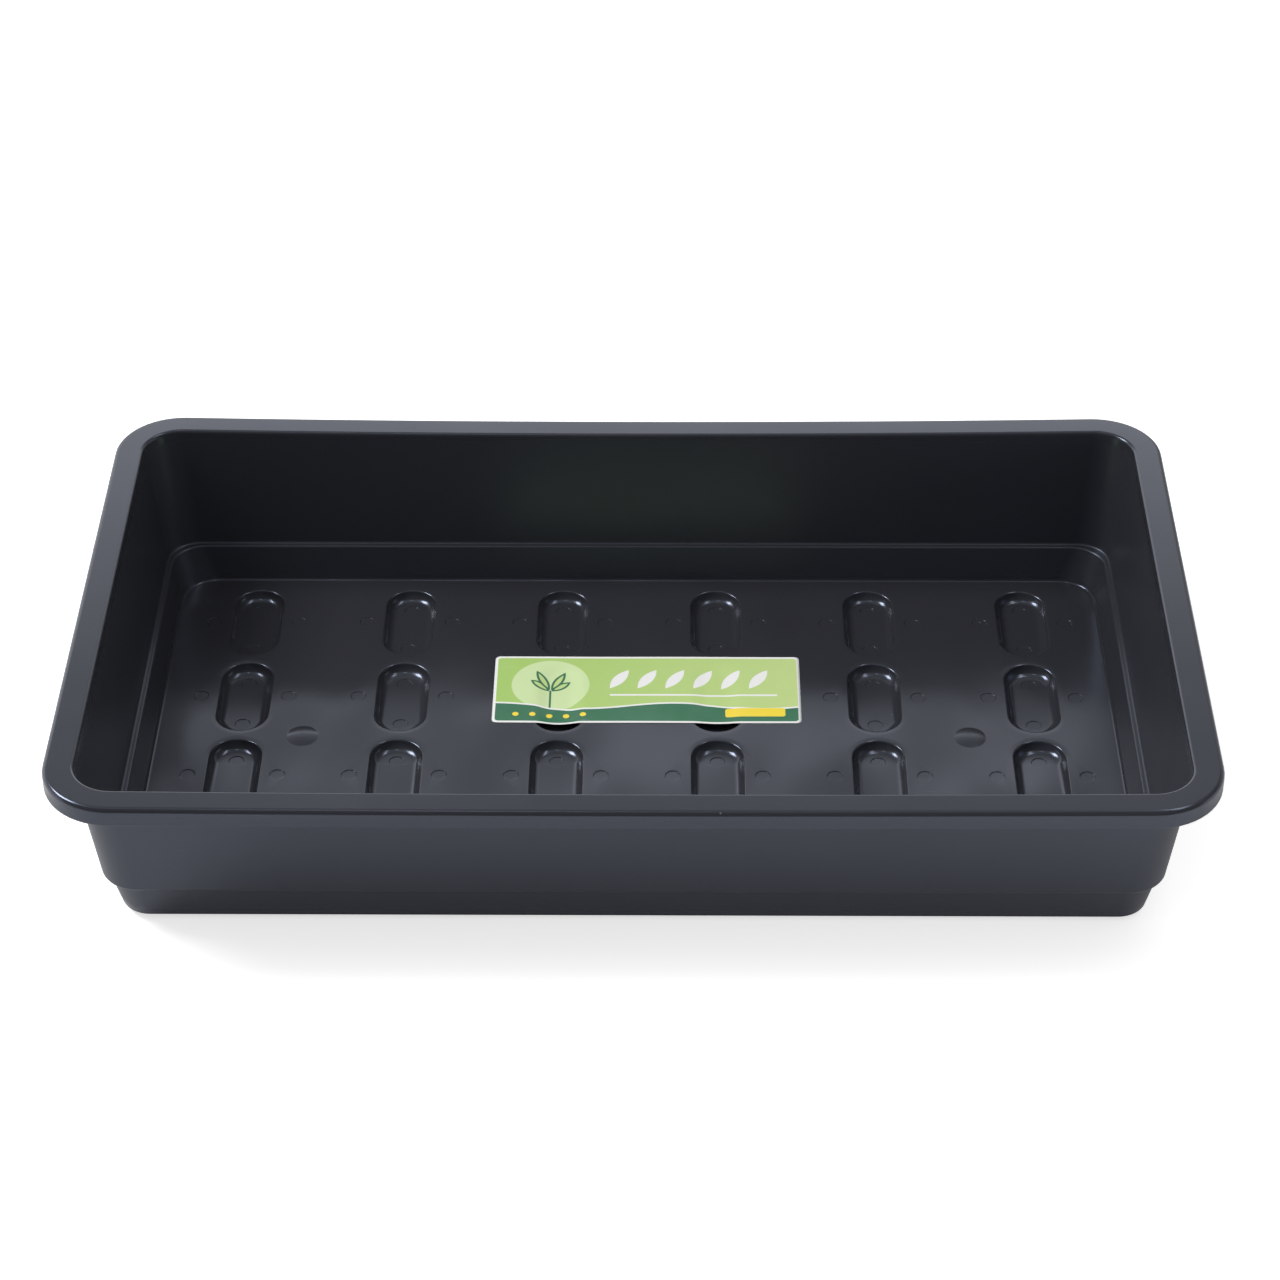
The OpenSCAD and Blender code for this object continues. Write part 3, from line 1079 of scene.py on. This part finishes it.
def studio_world(studio):
    """White surround for the camera and reflections, with a lower light on matt surfaces."""
    world = bpy.data.worlds.new("studio")
    world.use_nodes = True
    graph = Graph(world.node_tree)
    world.node_tree.nodes.clear()
    path = graph.add("ShaderNodeLightPath")
    shown = graph.calc("MAXIMUM", path.outputs["Is Camera Ray"], path.outputs["Is Glossy Ray"])
    shown = graph.calc("MAXIMUM", shown, path.outputs["Is Transmission Ray"])
    background = graph.add("ShaderNodeBackground")
    background.inputs["Color"].default_value = (1.0, 1.0, 1.0, 1.0)
    strength = graph.calc("MULTIPLY_ADD", shown, 1.0 - studio.room, studio.room)
    graph.put(background.inputs["Strength"], strength)
    output = graph.add("ShaderNodeOutputWorld")
    graph.tree.links.new(background.outputs["Background"], output.inputs["Surface"])
    return world


def room_glow():
    """Light of the room by height: pale low down behind the tray, dim above, one soft panel overhead."""
    material, graph, shader = new_material("room_glow")
    where = graph.add("ShaderNodeTexCoord").outputs["Object"]
    parts = graph.split(where)
    turn = graph.calc("ARCTAN2", parts["Z"], parts["Y"])
    ramp = graph.add("ShaderNodeValToRGB")
    graph.put(ramp.inputs["Fac"], graph.calc("DIVIDE", turn, math.pi))
    stops = ramp.color_ramp.elements
    while len(stops) < len(ROOM_LIGHT):
        stops.new(0.5)
    brightest = max(light for _, light in ROOM_LIGHT)
    for stop, (degrees, light) in zip(stops, ROOM_LIGHT):
        stop.position = degrees / 180
        stop.color = (*[light / brightest] * 3, 1.0)
    shader.inputs["Base Color"].default_value = (0.0, 0.0, 0.0, 1.0)
    shader.inputs["Specular IOR Level"].default_value = 0.0
    graph.put(shader.inputs["Emission Color"], ramp.outputs["Color"])
    shade = graph.spread(parts["X"], *ROOM_SHADE)
    light = graph.calc("MULTIPLY_ADD", shade, (ROOM_RIGHT - 1.0) * brightest, brightest)
    graph.put(shader.inputs["Emission Strength"], light)
    return material


def room_arch():
    """Arch over the stage with a dim strip of floor in front, that only reflections show."""
    reach = 2.8
    half = 8.0
    clear = 3 * MM
    strip_y = -0.6
    points = []
    for k in range(ARCH_STEPS + 1):
        turn = math.pi * k / ARCH_STEPS
        for side in (-half, half):
            points.append((side, reach * math.cos(turn), reach * math.sin(turn) + clear))
    points.extend([(-half, strip_y, clear), (half, strip_y, clear)])
    faces = [(2 * k, 2 * k + 1, 2 * k + 3, 2 * k + 2) for k in range(ARCH_STEPS + 1)]
    mesh = bpy.data.meshes.new("room_arch")
    mesh.from_pydata(points, [], faces)
    mesh.materials.append(room_glow())
    arch = new_piece("room_arch", mesh)
    arch.visible_camera = False
    arch.visible_diffuse = False
    arch.visible_shadow = False
    return arch


class TRAY_OT_stage(bpy.types.Operator):
    """Set up the floor, the light and the camera"""

    bl_idname = "garden_tray.stage"
    bl_label = "Set the stage"

    def execute(self, context):
        scene = context.scene
        studio = scene.studio_setup
        scene.view_settings.view_transform = "Standard"
        mesh = bpy.data.meshes.new("studio_floor")
        reach = 9.0
        corners = [(-reach, -reach, 0.0), (reach, -reach, 0.0), (reach, reach, 0.0), (-reach, reach, 0.0)]
        mesh.from_pydata(corners, [], [(0, 1, 2, 3)])
        mesh.materials.append(studio_floor(studio))
        floor = new_piece("studio_floor", mesh)
        room_arch()
        scene.world = studio_world(studio)
        for name, (place, target, panel) in LAMPS.items():
            lamp = panel_light(name, place, target, panel, getattr(studio, name))
            lamp.visible_glossy = name != "front"
        data = bpy.data.cameras.new("camera")
        data.sensor_width = 36.0
        data.lens = studio.lens
        data.clip_end = 50.0
        camera = bpy.data.objects.new("camera", data)
        turn = Matrix.Rotation(-studio.yaw, 4, "Z")
        turn = turn @ Matrix.Rotation(math.pi / 2 - studio.pitch, 4, "X")
        turn = turn @ Matrix.Rotation(-studio.roll, 4, "Z")
        camera.matrix_world = Matrix.Translation(studio.camera_place) @ turn
        scene.collection.objects.link(camera)
        scene.camera = camera
        return {"FINISHED"}


class TRAY_PT_panel(bpy.types.Panel):
    """Steps and sizes of the tray"""

    bl_idname = "TRAY_PT_panel"
    bl_label = "Garden tray"
    bl_space_type = "VIEW_3D"
    bl_region_type = "UI"
    bl_category = "Tray"

    def draw(self, context):
        layout = self.layout
        for operator in OPERATORS:
            layout.operator(operator.bl_idname)
        for name, group in GROUPS.items():
            box = layout.box()
            box.label(text=group.__doc__)
            held = getattr(context.scene, name)
            for key in group.__annotations__:
                box.prop(held, key)


GROUPS = {
    "tray_shape": TrayShape,
    "pocket_shape": PocketShape,
    "label_shape": LabelShape,
    "plastic_finish": PlasticFinish,
    "studio_setup": StudioSetup,
}
OPERATORS = (TRAY_OT_shell, TRAY_OT_label, TRAY_OT_stage)


def register():
    for name, group in GROUPS.items():
        bpy.utils.register_class(group)
        setattr(bpy.types.Scene, name, PointerProperty(type=group))
    for item in (*OPERATORS, TRAY_PT_panel):
        bpy.utils.register_class(item)


def unregister():
    for item in (TRAY_PT_panel, *reversed(OPERATORS)):
        bpy.utils.unregister_class(item)
    for name, group in GROUPS.items():
        delattr(bpy.types.Scene, name)
        bpy.utils.unregister_class(group)


def main():
    """Builds the tray, its label and the stage."""
    register()
    bpy.ops.garden_tray.shell()
    bpy.ops.garden_tray.label()
    bpy.ops.garden_tray.stage()


if __name__ == "__main__":
    main()
